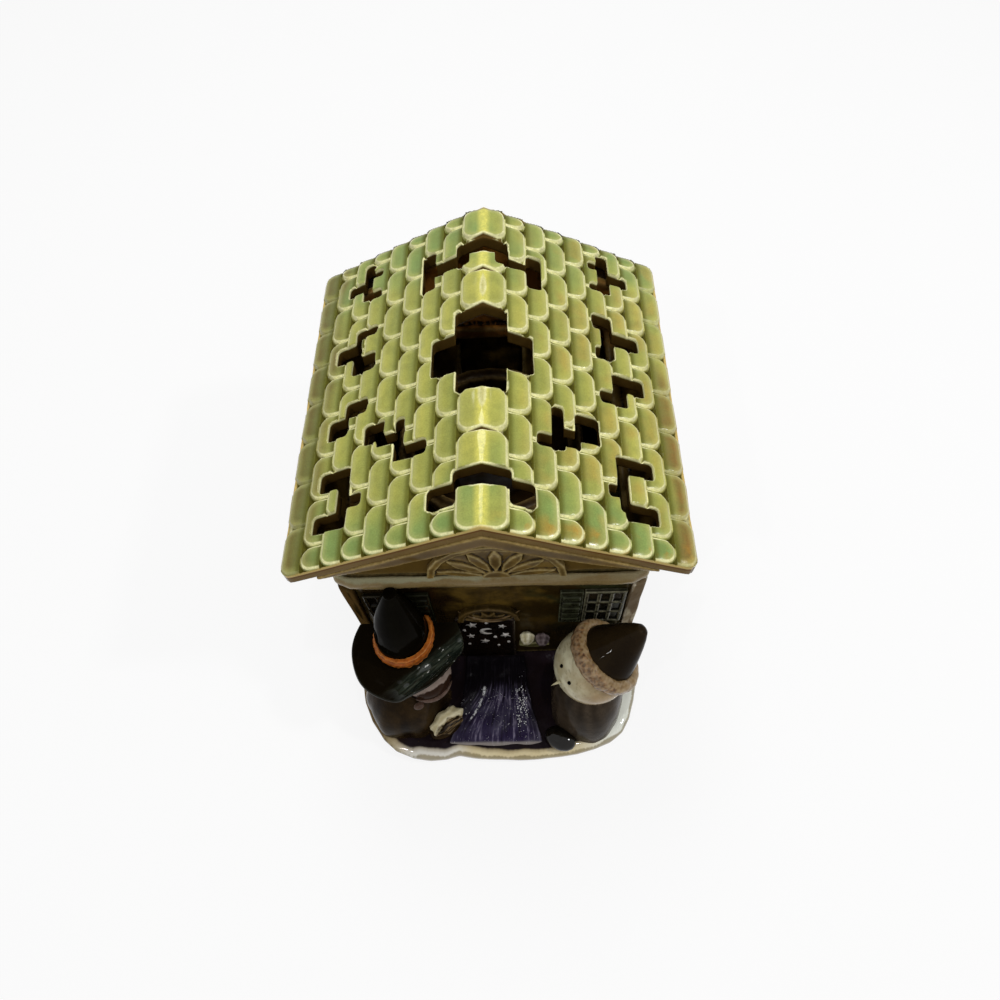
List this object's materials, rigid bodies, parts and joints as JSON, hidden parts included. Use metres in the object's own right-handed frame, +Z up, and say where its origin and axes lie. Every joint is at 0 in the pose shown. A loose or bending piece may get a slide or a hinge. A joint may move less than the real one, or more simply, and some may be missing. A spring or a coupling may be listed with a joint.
{
  "type": "wax warmer",
  "caption": "Glazed pottery house wax warmer: a pierced shingle roof lifts off over a wax dish on corner shelves, and a tealight slides in through an arch at the back.",
  "frame": {"origin": "on the plinth's flat underside, on the ground, straight below the middle of the roof and of the wax dish", "axes": "+Z up, +X to the right of the house seen from its front door, -Y out of the front door, so +Y runs from the yard to the back wall"},
  "size_m": [0.142, 0.1846, 0.1454],
  "materials": {
    "ivory_glaze": "glossy ivory glaze with brown breaks",
    "violet_glaze": "glossy violet-grey glaze",
    "brown_glaze": "glossy brown glaze",
    "door_glaze": "glossy dark brown glaze",
    "olive_glaze": "glossy olive glaze",
    "black_glaze": "glossy black glaze",
    "grey_green_glaze": "glossy grey-green glaze",
    "cream_glaze": "glossy cream glaze",
    "mauve_glaze": "glossy mauve glaze",
    "umber_glaze": "glossy dark brown-grey glaze",
    "lilac_glaze": "glossy pale lilac glaze",
    "orange_glaze": "glossy orange glaze",
    "tan_glaze": "rough tan glaze over a stippled surface",
    "green_glaze": "glossy yellow-green glaze that breaks pale on edges",
    "amber_glaze": "glossy amber-brown glaze",
    "beige_glaze": "glossy beige-brown glaze",
    "aluminium": "thin pressed aluminium",
    "wax": "white paraffin wax",
    "wick": "braided cotton wick"
  },
  "bodies": {
    "base": {"plinth": "ivory_glaze", "garden_path": "violet_glaze", "house_walls": "brown_glaze", "rim_band": "ivory_glaze", "corner_board_front_left": "ivory_glaze", "corner_board_front_right": "ivory_glaze", "corner_board_back_left": "ivory_glaze", "corner_board_back_right": "ivory_glaze", "front_door": "door_glaze", "door_hood": "olive_glaze", "window_left": "black_glaze", "window_right": "black_glaze", "shutter_left": "grey_green_glaze", "shutter_right": "grey_green_glaze", "bloom_white": "cream_glaze", "bloom_mauve": "mauve_glaze", "bloom_leaf": "olive_glaze", "witch_robe": "umber_glaze", "witch_head": "lilac_glaze", "witch_hat_brim": "black_glaze", "witch_hat_crown": "black_glaze", "witch_hat_band": "orange_glaze", "witch_cuff": "cream_glaze", "ghost_robe": "umber_glaze", "ghost_head": "cream_glaze", "ghost_nose": "cream_glaze", "ghost_shoe": "black_glaze", "ghost_ruff": "tan_glaze", "ghost_hat": "black_glaze"},
    "lid": {"roof": "green_glaze", "lid_walls": "amber_glaze", "fanlight": "olive_glaze", "bargeboard_front": "beige_glaze", "bargeboard_back": "beige_glaze"},
    "dish": {"wax_dish": "brown_glaze"},
    "tealight": {"tealight_cup": "aluminium", "tealight_wax": "wax", "tealight_wick": "wick"}
  },
  "joints": [
    {"name": "lid_lift", "type": "slide", "parent": "base", "child": "lid", "axis": [0, 0, 1], "range_m": [0, 0.2]},
    {"name": "dish_lift", "type": "slide", "parent": "base", "child": "dish", "axis": [0, 0, 1], "range_m": [0, 0.1]},
    {"name": "tealight_slide", "type": "slide", "parent": "base", "child": "tealight", "axis": [0, 1, 0], "range_m": [0, 0.1]}
  ],
  "couplings": [
    {"joint": "dish_lift", "follows": "lid_lift", "ratio": 0.5}
  ]
}
